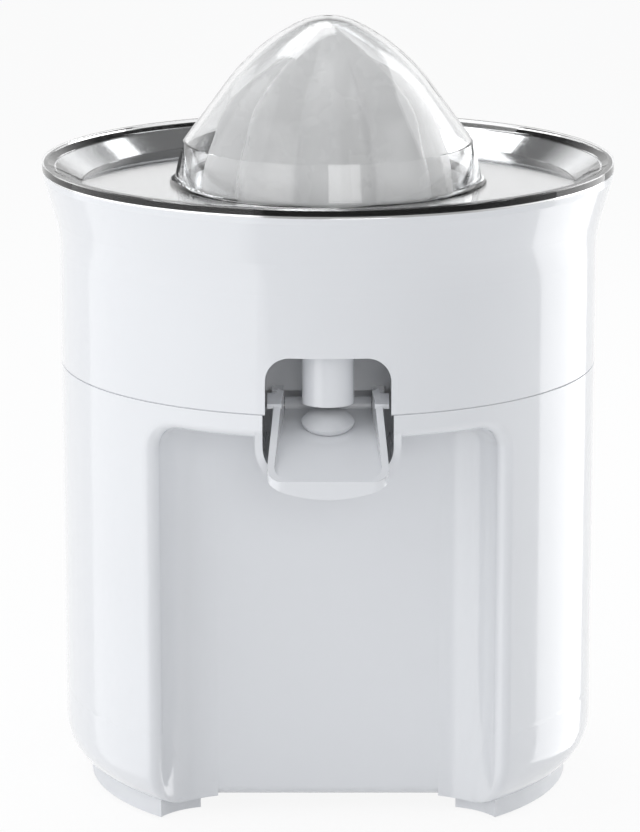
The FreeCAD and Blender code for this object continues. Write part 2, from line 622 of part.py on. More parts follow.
# Juice bowl with chimney, niche, outlet tube and hinge lugs
lip_top = d.rim_top - d.rim_thk - d.tray_thk
skirt_in = d.body_rad - d.bowl_thk
floor_low = d.bowl_floor - d.bowl_thk
chimney_in = d.tower_rad + d.chimney_gap
chimney_out = chimney_in + d.chimney_thk
seat_in = d.lip_rad - 2.7
bowl = revolve([(d.body_rad - 0.5, d.seam_lvl), (d.body_rad, d.seam_lvl + 0.5), (d.body_rad, d.flare_start),
                (d.flare_rad, d.flare_lvl, -d.flare_round), (d.lip_rad, d.lip_lvl), (d.lip_rad, lip_top),
                (seat_in, lip_top), (seat_in, d.lip_lvl - 0.5), (d.flare_rad - d.bowl_thk, d.flare_lvl),
                (skirt_in, d.flare_start, d.flare_round + d.bowl_thk), (skirt_in, d.bowl_floor),
                (d.channel_in, d.bowl_floor), (chimney_out, d.bowl_floor + d.floor_rise),
                (chimney_out, d.chimney_top), (chimney_in, d.chimney_top),
                (chimney_in, floor_low + d.floor_rise), (d.channel_in, floor_low), (skirt_in, floor_low),
                (skirt_in, d.seam_lvl)])
niche_out = d.niche_half + d.bowl_thk
prism("XY", [(-niche_out, -(d.body_rad - 3)), (niche_out, -(d.body_rad - 3)),
             (niche_out, -(d.niche_back - d.bowl_thk)), (-niche_out, -(d.niche_back - d.bowl_thk))],
      d.seam_lvl + 0.3, d.bowl_floor - d.seam_lvl - 1, bowl)
prism("XZ", [(-d.niche_half, d.seam_lvl - 5), (d.niche_half, d.seam_lvl - 5),
             (d.niche_half, d.niche_top - d.niche_round),
             (d.niche_half - d.niche_round, d.niche_top, d.niche_round),
             (d.niche_round - d.niche_half, d.niche_top),
             (-d.niche_half, d.niche_top - d.niche_round, d.niche_round)],
      d.niche_back, d.body_rad, bowl, True)
stopper_seat = d.hinge_lvl + 0.4 + d.stopper_high * 0.78
tube_low = stopper_seat + 0.7
tube = cylinder(d.tube_rad, tube_low, d.bowl_floor - 1, 0, -d.tube_fwd)
tube_void = cylinder(d.tube_bore, tube_low - 1, d.bowl_floor + 5, 0, -d.tube_fwd)
lug_in = 15.5
lug_out = 19.5
lugs = [block(xs, (-(d.hinge_fwd + 3.6), -(d.niche_back - d.bowl_thk)),
              (d.hinge_lvl - 3.6, d.seam_lvl + 2)) for xs in ((lug_in, lug_out), (-lug_out, -lug_in))]
pin_hole = rod(d.hinge_rad, -lug_out - 1, lug_out + 1, -d.hinge_fwd, d.hinge_lvl)
node(cut(joined([bowl, tube] + lugs), [tube_void, pin_hole]), "juice_bowl")
node(rod(d.hinge_rad - 0.02, -lug_out, lug_out, -d.hinge_fwd, d.hinge_lvl), "spout_pin")

# Strainer dish
tray_top = d.rim_top - d.rim_thk
tray_floor = d.lid_floor - d.lid_thk - d.tray_gap
wall_top = d.lip_rad - 3.4
foot_rad = d.lid_floor_rad + 0.9
hub_rad = chimney_out + 0.8
tray = revolve([(wall_top, tray_top), (d.lip_rad - 0.4, tray_top), (d.lip_rad - 0.4, tray_top - d.tray_thk),
                (wall_top + 0.3, tray_top - d.tray_thk), (foot_rad + 0.3, tray_floor - d.tray_thk),
                (d.well_rad + d.tray_thk, tray_floor - d.tray_thk),
                (d.well_rad + d.tray_thk, d.well_lvl - d.tray_thk), (hub_rad, d.well_lvl - d.tray_thk),
                (hub_rad, d.hub_top), (hub_rad + d.tray_thk, d.hub_top), (hub_rad + d.tray_thk, d.well_lvl),
                (d.well_rad, d.well_lvl), (d.well_rad, tray_floor), (foot_rad, tray_floor)])
for near, far, count in ((hub_rad + 6, hub_rad + 17, 30), (d.well_rad - 15, d.well_rad - 3, 48)):
    half = d.slot_wide / 2
    prism("XY", [(near, -half), (far, -half), (far, half), (near, half)], d.well_lvl - 3, 6, tray, True)
    polar(tray, count)
node(tray, "strainer_tray")


# Reamer cone
def star(level, long, short, valley):
    corners = []
    for i in range(16):
        rad = (long, valley, short, valley)[i % 4]
        angle = math.radians(5 - 45 + 22.5 * i)
        corners.append(Vector(rad * math.cos(angle - math.pi / 2), rad * math.sin(angle - math.pi / 2), level))
    return Part.makePolygon(corners + corners[:1])


CONE = [(0, 1, 0.99, 0.81), (0.24, 0.957, 0.947, 0.765), (0.375, 0.904, 0.883, 0.71),
        (0.578, 0.819, 0.766, 0.61), (0.736, 0.617, 0.532, 0.443), (0.856, 0.377, 0.256, 0.275),
        (0.92, 0.223, 0.149, 0.165), (1, 0.026, 0.019, 0.0205)]
tall = d.cone_tip.value - d.cone_base.value
rad = d.cone_rad.value
sections = [star(d.cone_base.value + tall * z, rad * a, rad * b, rad * c) for z, a, b, c in CONE]
cone_solid = Part.makeLoft(sections, True, False)
cave = [(0, d.cone_base.value - 1), (rad * 0.745, d.cone_base.value - 1), (rad * 0.7, d.cone_base.value + tall * 0.24),
        (rad * 0.645, d.cone_base.value + tall * 0.375), (rad * 0.54, d.cone_base.value + tall * 0.578),
        (0, d.cone_base.value + tall * 0.578)]
cave_face = Part.Face(Part.makePolygon([Vector(r, 0, z) for r, z in cave + cave[:1]]))
cave_solid = cave_face.revolve(Vector(0, 0, 0), Vector(0, 0, 1), 360)
boss = Part.makeCylinder(d.boss_rad.value, d.cone_base.value + tall * 0.578 - d.boss_low.value + 1,
                         Vector(0, 0, d.boss_low.value))
socket = Part.makeCylinder(d.shaft_rad.value + 0.3, d.shaft_top.value - d.boss_low.value + 1,
                           Vector(0, 0, d.boss_low.value - 1))
slot_half = d.pin_rad.value + 0.35
slot_top = d.pin_lvl.value + d.pin_rad.value + 0.4
pin_slot = Part.makeBox(40, 2 * slot_half, slot_top - d.boss_low.value + 1,
                        Vector(-20, -slot_half, d.boss_low.value - 1))
cone_body = cone_solid.cut(cave_solid).fuse(boss).cut(socket).cut(pin_slot).removeSplitter()
node(group([cone_body]), "reamer_cone")

# Clear lid
dome_in = d.lid_thk
rim_in = d.rim_rad - d.rim_flat
lid_low = d.rim_top - d.rim_thk
under_foot = d.lid_floor_rad - 0.1
nose_in = d.nose_round - dome_in
nose_in_rad = d.nose_rad * nose_in / d.nose_round
nose_mid = d.dome_apex - d.nose_round


def ball_lvl(rad, bend):
    return nose_mid + root(bend * bend - rad * rad)


lid = revolve([(0, d.dome_apex), (d.nose_rad, ball_lvl(d.nose_rad, d.nose_round), -d.nose_round),
               (d.dome_bend_rad, d.dome_bend_lvl, -d.dome_round),
               (d.dome_shoulder_rad, d.dome_shoulder_lvl), (d.dome_foot, d.lid_floor + 2),
               (d.dome_foot + 2, d.lid_floor, 2), (d.lid_floor_rad, d.lid_floor), (rim_in, d.rim_top),
               (d.rim_rad, d.rim_top), (d.rim_rad, lid_low), (d.lip_rad - 4.3, lid_low),
               (under_foot, d.lid_floor - d.lid_thk), (d.dome_foot - dome_in, d.lid_floor - d.lid_thk),
               (d.dome_shoulder_rad - dome_in, d.dome_shoulder_lvl - 0.7),
               (d.dome_bend_rad - 1.6, d.dome_bend_lvl - 1.2),
               (nose_in_rad, ball_lvl(nose_in_rad, nose_in), d.dome_round - dome_in),
               (0, d.dome_apex - dome_in, nose_in)])
node(lid, "lid")

# Drip spout, built level about its hinge and then tilted open
floor_up = 0.4


def spout_plan(inset, front):
    back = d.spout_back_half - inset
    half = d.spout_half - inset
    bend = 9 - inset
    tip = -(d.spout_len + front)
    return [(-back, -9), (-half, tip + bend), (-half + bend, tip, bend), (half - bend, tip),
            (half, tip + bend, bend), (back, -9)]


bend_v, tip_v = -d.spout_bend, -(d.spout_len + 2)
lip_w = floor_up - d.spout_drop
wall_w = d.spout_wall + floor_up
side = [(-8, wall_w), (-8, floor_up - d.spout_thk), (bend_v, floor_up - d.spout_thk),
        (-(d.spout_len - 5), lip_w - d.spout_thk), (-(d.spout_len - 2), lip_w - d.spout_nose - 0.8),
        (tip_v, lip_w - d.spout_nose - 0.8), (tip_v, lip_w + 1.4), (-(d.spout_len - 6), lip_w + 2.6), (-20, wall_w)]
inner_side = [(-7, wall_w + 5), (-7, floor_up), (bend_v, floor_up), (tip_v - 2, lip_w - 0.4),
              (tip_v - 2, wall_w + 5)]


def common(first, second):
    item = doc.addObject("Part::Common", "Common")
    item.Base = first
    item.Tool = second
    return item


belly_w = lip_w - d.spout_nose - 0.8
belly_x = d.spout_half - 6
belly_rise = 3.2
belly_round = (belly_x * belly_x + belly_rise * belly_rise) / (2 * belly_rise)
front = [(-d.spout_half, 30), (-d.spout_half, belly_w + belly_rise + 8),
         (-belly_x, belly_w + belly_rise, 10), (belly_x, belly_w + belly_rise, belly_round),
         (d.spout_half, belly_w + belly_rise + 8, 10), (d.spout_half, 30)]
spout_block = common(prism("XY", spout_plan(0, 0), -30, 60), prism("YZ", side, -30, 60))
spout_block = common(spout_block, prism("XZ", front, -10, 100))
spout_void = common(prism("XY", spout_plan(d.spout_rim, 12), -30, 60), prism("YZ", inner_side, -30, 60))
barrel = rod(d.barrel_rad, -15, 15, 0, 0)
tongue = block((-15, 15), (-12, 0), (floor_up - d.spout_thk, floor_up))
wings = [block(xs, (-21, -12), (wall_w - 1.7, wall_w)) for xs in ((16, 20.9), (-20.9, -16))]
spout_hole = rod(d.hinge_rad + d.run_fit, -20, 20, 0, 0)
spout = cut(joined([cut(spout_block, [spout_void]), barrel, tongue] + wings), [spout_hole])
node(spout, "drip_spout")
stop_out = d.tube_fwd - d.hinge_fwd
crown_low = d.stopper_high * 0.42
crown_rise = d.stopper_high + 1 - crown_low
crown_round = (d.stopper_rad * d.stopper_rad + crown_rise * crown_rise) / (crown_rise * 2)
stopper = revolve([(0, 0), (d.stopper_rad - 1.5, 0), (d.stopper_rad, crown_low, 3.0),
                   (0, d.stopper_high + 1, crown_round)])
node(stopper, "spout_stopper")
doc.recompute()
tilt = d.spout_tilt.value
lean = Rotation(Vector(1, 0, 0), tilt)
hinge = Vector(0, -d.hinge_fwd.value, d.hinge_lvl.value)
spout.Placement = Placement(hinge, lean)
stopper.Placement = Placement(hinge + lean.multVec(Vector(0, -stop_out.value, floor_up)), lean)
doc.recompute()

for item in doc.Objects:
    if "Invalid" in item.State or "Error" in item.State:
        raise RuntimeError("object %s of %s did not build" % (item.Name, item.Label))
os.makedirs("parts", exist_ok=True)
for item in nodes:
    if item.Shape.isNull() or not item.Shape.isValid():
        raise RuntimeError("shape of %s is not valid" % item.Label)
    item.Shape.exportStep("parts/%s.step" % item.Label)
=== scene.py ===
import json
import math

import bmesh
import bpy
from mathutils import Matrix, Vector


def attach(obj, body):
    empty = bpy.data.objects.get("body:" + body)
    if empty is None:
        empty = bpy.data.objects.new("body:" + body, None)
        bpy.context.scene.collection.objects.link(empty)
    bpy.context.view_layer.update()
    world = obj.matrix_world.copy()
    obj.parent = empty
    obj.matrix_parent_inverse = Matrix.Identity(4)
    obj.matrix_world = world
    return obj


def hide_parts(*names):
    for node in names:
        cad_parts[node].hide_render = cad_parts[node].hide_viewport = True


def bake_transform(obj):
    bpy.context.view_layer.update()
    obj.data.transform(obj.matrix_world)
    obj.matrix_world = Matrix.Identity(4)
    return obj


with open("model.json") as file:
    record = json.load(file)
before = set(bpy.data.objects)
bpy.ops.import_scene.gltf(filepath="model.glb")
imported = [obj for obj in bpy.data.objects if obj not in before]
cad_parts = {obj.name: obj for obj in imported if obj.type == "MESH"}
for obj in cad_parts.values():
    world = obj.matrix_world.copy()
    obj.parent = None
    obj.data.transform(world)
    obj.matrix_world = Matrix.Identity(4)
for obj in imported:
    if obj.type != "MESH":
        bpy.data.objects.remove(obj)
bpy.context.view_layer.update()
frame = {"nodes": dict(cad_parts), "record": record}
nodes = frame["nodes"]
scene = bpy.context.scene


# Finishes
class Finish:
    """A material under construction, with short calls for the nodes it is made of."""

    def __init__(self, name, colour, rough, metal=0.0):
        self.material = bpy.data.materials.new(name)
        self.material.use_nodes = True
        self.tree = self.material.node_tree
        self.shader = self.tree.nodes["Principled BSDF"]
        self.shader.inputs["Base Color"].default_value = (*colour, 1)
        self.shader.inputs["Roughness"].default_value = rough
        self.shader.inputs["Metallic"].default_value = metal
        self.colour = colour
        self.spot = self.add("ShaderNodeTexCoord").outputs["Object"]

    def add(self, kind, **settings):
        step = self.tree.nodes.new(kind)
        for key, value in settings.items():
            setattr(step, key, value)
        return step

    def link(self, source, target):
        self.tree.links.new(source, target)

    def stretched(self, scale):
        mapping = self.add("ShaderNodeMapping")
        mapping.inputs["Scale"].default_value = scale
        self.link(self.spot, mapping.inputs["Vector"])
        return mapping.outputs["Vector"]

    def noise(self, scale, detail=2.0, where=None):
        step = self.add("ShaderNodeTexNoise")
        step.inputs["Scale"].default_value = scale
        step.inputs["Detail"].default_value = detail
        self.link(where or self.spot, step.inputs["Vector"])
        return step.outputs["Fac"]

    def bands(self, scale, axis, distortion=0.0):
        step = self.add("ShaderNodeTexWave", bands_direction=axis)
        step.inputs["Scale"].default_value = scale
        step.inputs["Distortion"].default_value = distortion
        self.link(self.spot, step.inputs["Vector"])
        return step.outputs["Fac"]

    def mottle(self, source, dark, light):
        """Lets the colour wander between two shares of itself."""
        ramp = self.add("ShaderNodeValToRGB")
        for stop, share in zip(ramp.color_ramp.elements, (dark, light)):
            stop.color = (*(min(1, c * share) for c in self.colour), 1)
        ramp.color_ramp.elements[0].position = 0.3
        ramp.color_ramp.elements[1].position = 0.7
        self.link(source, ramp.inputs["Fac"])
        self.link(ramp.outputs["Color"], self.shader.inputs["Base Color"])
        return self

    def sheen_wander(self, source, low, high):
        span = self.add("ShaderNodeMapRange")
        span.inputs["From Min"].default_value = 0.3
        span.inputs["From Max"].default_value = 0.7
        span.inputs["To Min"].default_value = low
        span.inputs["To Max"].default_value = high
        self.link(source, span.inputs["Value"])
        self.link(span.outputs["Result"], self.shader.inputs["Roughness"])
        return self

    def relief(self, source, strength, depth=0.0002):
        bump = self.add("ShaderNodeBump")
        bump.inputs["Strength"].default_value = strength
        bump.inputs["Distance"].default_value = depth
        self.link(source, bump.inputs["Height"])
        self.link(bump.outputs["Normal"], self.shader.inputs["Normal"])
        return self

    def set(self, **values):
        for key, value in values.items():
            self.shader.inputs[key.replace("_", " ")].default_value = value
        return self


def gloss_moulding(name, colour):
    """Glossy injection moulding: faint flow mottling, a slow ripple in the gloss."""
    look = Finish(name, colour, 0.12).set(IOR=1.5, Coat_Weight=0.5, Coat_Roughness=0.04)
    look.mottle(look.noise(14), 0.985, 1.0)
    look.sheen_wander(look.noise(38, 3), 0.1, 0.16)
    return look.relief(look.noise(26), 0.05, 0.0003).material


def satin_moulding(name, colour, rough=0.45):
    """Satin moulding with the fine spark-eroded grain of its tool."""
    look = Finish(name, colour, rough).set(IOR=1.48)
    look.mottle(look.noise(30), 0.97, 1.0)
    look.sheen_wander(look.noise(90, 3), rough - 0.06, rough + 0.08)
    return look.relief(look.noise(1600, 3), 0.12, 0.00012).material


def machined(name, colour, rough, along):
    """Turned or ground metal with fine lines along the stretch."""
    look = Finish(name, colour, rough, 1.0)
    lines = look.noise(300, 4, look.stretched(along))
    look.mottle(look.noise(60), 0.93, 1.0)
    look.sheen_wander(lines, rough - 0.06, rough + 0.1)
    return look.relief(lines, 0.1, 0.00008).material


def rubber(name, colour):
    look = Finish(name, colour, 0.62).set(IOR=1.5)
    look.mottle(look.noise(120, 4), 0.9, 1.0)
    look.sheen_wander(look.noise(200), 0.55, 0.72)
    return look.relief(look.noise(2400, 2), 0.25, 0.0001).material


def layered(name, colour, rough, metal, scale, axis, dark):
    """Stacked sheet or laid wire: even lines across one axis."""
    look = Finish(name, colour, rough, metal)
    lines = look.bands(scale, axis)
    look.mottle(lines, dark, 1.0)
    look.sheen_wander(look.noise(150, 3), rough - 0.05, rough + 0.1)
    return look.relief(lines, 0.5, 0.00025).material


def clear_moulding(name):
    """Clear rigid moulding with the slightest flow ripple."""
    look = Finish(name, (0.985, 0.99, 0.995), 0.015).set(IOR=1.49, Transmission_Weight=1.0)
    return look.relief(look.noise(18), 0.015, 0.0003).material


def polished_sheet(name):
    """Pressed and polished steel with faint turning lines."""
    look = Finish(name, (0.965, 0.97, 0.975), 0.1, 1.0)
    look.mottle(look.noise(20), 0.97, 1.0)
    look.sheen_wander(look.noise(700, 3, look.stretched((1, 1, 0.15))), 0.07, 0.14)
    return look.relief(look.noise(24), 0.04, 0.0004).material


FINISHES = {
    "body_white": gloss_moulding("body_white", (0.80, 0.81, 0.83)),
    "plate_white": satin_moulding("plate_white", (0.78, 0.79, 0.81)),
    "spout_white": gloss_moulding("spout_white", (0.80, 0.81, 0.83)),
    "pad_grey": rubber("pad_grey", (0.30, 0.30, 0.31)),
    "stopper_grey": rubber("stopper_grey", (0.70, 0.71, 0.73)),
    "steel": machined("steel", (0.70, 0.70, 0.71), 0.24, (1, 1, 0.05)),
    "zinc": machined("zinc", (0.66, 0.67, 0.68), 0.34, (1, 1, 1)),
    "bush_bronze": machined("bush_bronze", (0.62, 0.43, 0.22), 0.4, (1, 1, 4)),
    "tray_steel": polished_sheet("tray_steel"),
    "lid_clear": clear_moulding("lid_clear"),
    "cone_grey": satin_moulding("cone_grey", (0.76, 0.755, 0.745), 0.26),
    "gear_nylon": satin_moulding("gear_nylon", (0.80, 0.77, 0.68), 0.5),
    "frame_black": satin_moulding("frame_black", (0.035, 0.035, 0.04), 0.5),
    "core_iron": layered("core_iron", (0.33, 0.33, 0.35), 0.45, 0.9, 320, "Z", 0.55),
    "coil_copper": layered("coil_copper", (0.66, 0.27, 0.10), 0.3, 0.9, 420, "Y", 0.5),
    "magnet": satin_moulding("magnet", (0.06, 0.06, 0.065), 0.55),
}
for part in frame["record"]["subparts"]:
    for socket in nodes[part["node"]].material_slots:
        socket.material = FINISHES[part["material_slot"]]


# Pieces with finer form than their solids, and the base's tight underside; sizes in millimetres
MM = 0.001
MERGE = 0.001

# Cone
CONE_BASE, CONE_TALL, CONE_RAD = 209, 66.6, 47
CONE_TURN_STEPS, CONE_LEVEL_CUTS = 240, 59
# Share of the height, then the reach of long ribs, short ribs and flutes as shares of the radius
CONE_RISE = [(0, 1, 0.99, 0.81), (0.24, 0.957, 0.947, 0.765), (0.375, 0.904, 0.883, 0.71),
             (0.578, 0.819, 0.766, 0.61), (0.736, 0.617, 0.532, 0.443),
             (0.856, 0.377, 0.256, 0.275), (0.92, 0.223, 0.149, 0.165), (1, 0.026, 0.019, 0.0205)]
# Degrees about the shaft
FIRST_SHORT_RIB, RIB_STEP = -85, 45
RIB_BLUNT, FLUTE_POWER = 0.06, 1.15
HOLLOW_TOP = 0.578
# Reach of the hollow as a share of the radius, then the share of the height
CONE_HOLLOW = [(0.745, 0), (0.7, 0.24), (0.645, 0.375), (0.54, HOLLOW_TOP), (0, HOLLOW_TOP)]
SLEEVE_RADII, SLEEVE_FOOT, SLEEVE_SINK = (4.3, 12.5), 230, 0.8
SLEEVE_STARTS, SLEEVE_SPAN, SLEEVE_STEPS = (25, 205), 130, 24

# Spout, with its hinge at the origin and its lip towards the front
HINGE = Vector((0, -61, 151)) * MM
SPOUT_LEAN = math.radians(12)
SPOUT_PLAN = [(-17.4, -8, 0), (-21.2, -47.5, 0), (21.2, -47.5, 0), (17.4, -8, 0)]
SPOUT_CORNER, SPOUT_WALL, SLIVER = 6.5, 2.4, 0.4
SPOUT_CUTS_ALONG = (-18.5, -21, -26, -31, -36, -41, -44, -46)
SPOUT_CUTS_ACROSS = (-15, -10, -5, 0, 5, 10, 15)
SIDE_RIM_FROM = -9.3
# Distance from the hinge, then the height: level by the hinge, falling to the pouring lip
SPOUT_TOP = [(-48, -6.2), (-46.5, -6.1), (-44, -4.9), (-41, -2.9), (-21, 9.6), (-18.5, 10.4),
             (-8, 10.4)]
SPOUT_FLOOR = [(-48, -6.4), (-44, -5.2), (-26, 0.1), (-22, 0.4), (-8, 0.4)]
SPOUT_UNDER = [(-48, -13.1), (-46.4, -13.0), (-44.2, -9.0), (-42, -7.2), (-26, -1.7), (-8, -1.6)]
APRON_LOW, APRON_LIFT, APRON_HALF = -13.1, 3.3, 17
# Place along the hinge, then the radius
BARREL, BARREL_STEPS = [(-15, 1.56), (-15, 3.2), (15, 3.2), (15, 1.56)], 40
# Lowest and highest corners of the tongue and the two side wings
SPOUT_BLOCKS = [((-15, -12, -1.6), (15, -2.4, 0.4)), ((16, -21, 8.7), (20.9, -12, 10.4)),
                ((-20.9, -21, 8.7), (-16, -12, 10.4))]

# Base: its wall, the glass bay in plan, and the plain round under the solid (middle, radius)
BODY_RAD = 96.5
BAY_HALF, BAY_BACK, BAY_CORNER = 59.3, 55, 20
PLAIN_ROUND_AT, PLAIN_ROUND = (66.5, 36), 30
# The tight underside in its place
UNDER_BEND, UNDER_LEVEL = 18, 5
UNDER_WALL_LEVELS = (36, 33, 28)
BEND_STEPS, STEP_TURN = 10, math.radians(9)
BAY_EDGE_ROUND, EDGE_ROUND_LOSS = 3.5, 0.025
# Radius, level and round of the bay edge, on the way back in to the solid
UNDER_RUN_IN = [(74.5, 5.15, 0.6), (71, 5.5, 0.3), (67.7, 6, 0.1)]
UNDER_COLUMNS, EDGE_COLUMNS, END_CUTS = 84, 7, 4
PROUD, TOP_SUNK, TOP_FROM = 0.03, -0.15, 35
BACK_SUNK, END_SUNK = 0.5, 7
SHARP = math.radians(40)


def settle(form, name, finish, body, node=None, lean=0.0, at=Vector()):
    """Places a form made in millimetres and lets it stand for its CAD node, if it has one."""
    turn = Matrix.Translation(at) @ Matrix.Rotation(lean, 4, "X") @ Matrix.Scale(MM, 4)
    bmesh.ops.transform(form, matrix=turn, verts=form.verts)
    bmesh.ops.recalc_face_normals(form, faces=form.faces)
    for face in form.faces:
        face.smooth = True
    mesh = bpy.data.meshes.new(name)
    form.to_mesh(mesh)
    form.free()
    mesh.materials.append(FINISHES[finish])
    piece = bpy.data.objects.new(name, mesh)
    scene.collection.objects.link(piece)
    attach(piece, body)
    if node:
        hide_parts(node)
    return piece


def soften(piece, width, segments, angle=40):
    edge = piece.modifiers.new("soft_edges", "BEVEL")
    edge.width = width * MM
    edge.segments = segments
    edge.limit_method = "ANGLE"
    edge.angle_limit = math.radians(angle)
    edge.harden_normals = True


def curve_through(rows, column, share):
    """Smooth reading between the rows of a table."""
    last = len(rows) - 1
    at = next((i for i in range(last) if share <= rows[i + 1][0]), last - 1)

    def slope(i):
        low, high = rows[max(i - 1, 0)], rows[min(i + 1, last)]
        return (high[column] - low[column]) / (high[0] - low[0])

    start, end = rows[at], rows[at + 1]
    span = end[0] - start[0]
    t = (share - start[0]) / span
    return ((1 + 2 * t) * (1 - t) ** 2 * start[column] + t * (1 - t) ** 2 * span * slope(at)
            + t * t * (3 - 2 * t) * end[column] + t * t * (t - 1) * span * slope(at + 1))


def rib_reach(share, turn):
    """Radius of the cone: sharp ribs, long and short by turns, with hollow flutes between."""
    spot = (math.degrees(turn) - FIRST_SHORT_RIB) / RIB_STEP
    nearest = round(spot)
    off = math.hypot(2 * (spot - nearest), RIB_BLUNT) - RIB_BLUNT
    crest = max(0, 1 - off / (math.hypot(1, RIB_BLUNT) - RIB_BLUNT)) ** FLUTE_POWER
    rib = curve_through(CONE_RISE, 1 + (nearest + 1) % 2, share)
    flute = curve_through(CONE_RISE, 3, share)
    return CONE_RAD * (flute + (rib - flute) * crest)


def reamer_cone():
    form = bmesh.new()
    tip = CONE_BASE + CONE_TALL
    bmesh.ops.create_cone(form, cap_ends=False, segments=CONE_TURN_STEPS, radius1=1, radius2=0.5,
                          depth=1)
    rails = [e for e in form.edges if abs(e.verts[0].co.z - e.verts[1].co.z) > 0.5]
    bmesh.ops.subdivide_edges(form, edges=rails, cuts=CONE_LEVEL_CUTS, use_grid_fill=True)
    for vert in form.verts:
        share = vert.co.z + 0.5
        turn = math.atan2(vert.co.y, vert.co.x)
        reach = rib_reach(min(1, max(0, share)), turn)
        vert.co = (reach * math.cos(turn), reach * math.sin(turn), CONE_BASE + CONE_TALL * share)
    top = [v for v in form.verts if v.co.z > tip - 0.01]
    bmesh.ops.pointmerge(form, verts=top, merge_co=(0, 0, tip))
    foot = [e for e in form.edges if e.is_boundary]

    # Hollow inside, closed at its top
    line = [form.verts.new((CONE_RAD * r, 0, CONE_BASE + CONE_TALL * z)) for r, z in CONE_HOLLOW]
    path = [form.edges.new(pair) for pair in zip(line, line[1:])]
    bmesh.ops.spin(form, geom=line + path, cent=(0, 0, 0), axis=(0, 0, 1), angle=2 * math.pi,
                   steps=CONE_TURN_STEPS, use_merge=True)
    bmesh.ops.remove_doubles(form, verts=form.verts, dist=MERGE)
    mouth = [e for e in form.edges if e.is_boundary and e not in foot]
    bmesh.ops.bridge_loops(form, edges=foot + mouth)

    # Two half sleeves that grip the shaft, with the gap for the cross pin between them
    inner, outer = SLEEVE_RADII
    low, high = SLEEVE_FOOT, CONE_BASE + CONE_TALL * HOLLOW_TOP + SLEEVE_SINK
    for start in SLEEVE_STARTS:
        turn = math.radians(start)
        corners = [form.verts.new((r * math.cos(turn), r * math.sin(turn), z))
                   for r, z in ((inner, low), (outer, low), (outer, high), (inner, high))]
        end_face = form.faces.new(corners)
        bmesh.ops.spin(form, geom=[end_face], cent=(0, 0, 0), axis=(0, 0, 1),
                       angle=math.radians(SLEEVE_SPAN), steps=SLEEVE_STEPS)
    piece = settle(form, "reamer_cone_moulding", "cone_grey", "cone", "reamer_cone")
    soften(piece, width=0.25, segments=2, angle=50)


def spout_under(x, y):
    """Underside: a thin floor, turned down to a rounded apron at the lip."""
    lift = APRON_LIFT * (abs(x) / APRON_HALF) ** 2
    return max(curve_through(SPOUT_UNDER, 1, y), APRON_LOW + lift)


def drip_spout():
    form = bmesh.new()
    plan = [form.verts.new(corner) for corner in SPOUT_PLAN]
    form.faces.new(plan)
    bmesh.ops.bevel(form, geom=plan[1:3], affect="VERTICES", offset=SPOUT_CORNER,
                    offset_type="OFFSET", segments=10, profile=0.5, material=-1)
    for y in SPOUT_CUTS_ALONG:
        bmesh.ops.bisect_plane(form, geom=form.verts[:] + form.edges[:] + form.faces[:],
                               plane_co=(0, y, 0), plane_no=(0, 1, 0))
    for x in SPOUT_CUTS_ACROSS:
        bmesh.ops.bisect_plane(form, geom=form.verts[:] + form.edges[:] + form.faces[:],
                               plane_co=(x, 0, 0), plane_no=(1, 0, 0))
    bmesh.ops.remove_doubles(form, verts=form.verts, dist=SLIVER)
    rim = bmesh.ops.inset_region(form, faces=form.faces[:], thickness=SPOUT_WALL,
                                 use_boundary=True, use_even_offset=True)["faces"]
    side_rim = [f for f in rim if f.calc_center_median().y < SIDE_RIM_FROM]
    # Underside first, as a copy of the whole plan joined along its outline
    lower = bmesh.ops.extrude_face_region(form, geom=form.faces[:], use_keep_orig=True)
    under = {v for v in lower["geom"] if isinstance(v, bmesh.types.BMVert)}
    for vert in under:
        vert.co.z = spout_under(vert.co.x, vert.co.y)
    raised = bmesh.ops.extrude_face_region(form, geom=side_rim)
    tops = {v for v in raised["geom"] if isinstance(v, bmesh.types.BMVert)}
    bmesh.ops.delete(form, geom=side_rim, context="FACES_ONLY")
    for vert in form.verts:
        if vert in tops:
            vert.co.z = curve_through(SPOUT_TOP, 1, vert.co.y)
        elif vert not in under:
            vert.co.z = curve_through(SPOUT_FLOOR, 1, vert.co.y)
    # Hinge barrel, tongue and the two side wings
    barrel = [form.verts.new((x, r, 0)) for x, r in BARREL]
    ring = form.faces.new(barrel)
    edges = list(ring.edges)
    bmesh.ops.delete(form, geom=[ring], context="FACES_ONLY")
    bmesh.ops.spin(form, geom=barrel + edges, cent=(0, 0, 0), axis=(1, 0, 0), angle=2 * math.pi,
                   steps=BARREL_STEPS, use_merge=True)
    for low, high in SPOUT_BLOCKS:
        block = bmesh.ops.create_cube(form, size=1)["verts"]
        bmesh.ops.scale(form, verts=block, vec=[b - a for a, b in zip(low, high)])
        bmesh.ops.translate(form, verts=block, vec=[(b + a) / 2 for a, b in zip(low, high)])
    bmesh.ops.remove_doubles(form, verts=form.verts, dist=0.0005)
    piece = settle(form, "drip_spout_moulding", "spout_white", "spout", "drip_spout",
                   SPOUT_LEAN, HINGE)
    soften(piece, width=0.8, segments=4)


def bay_turn(rad, bend):
    """Angle from the front, at a radius, of a line that keeps a distance from the bay's corner."""
    across, fore = BAY_HALF - BAY_CORNER, BAY_BACK + BAY_CORNER
    away = math.hypot(across, fore)
    share = (rad * rad + away * away - bend * bend) / (2 * rad * away)
    return math.atan2(across, fore) + math.acos(min(1, share))


def stand_off(lvl):
    """How far the underside stands clear of the solid: sunk in at its top edge, proud below it."""
    return PROUD if lvl < TOP_FROM else TOP_SUNK


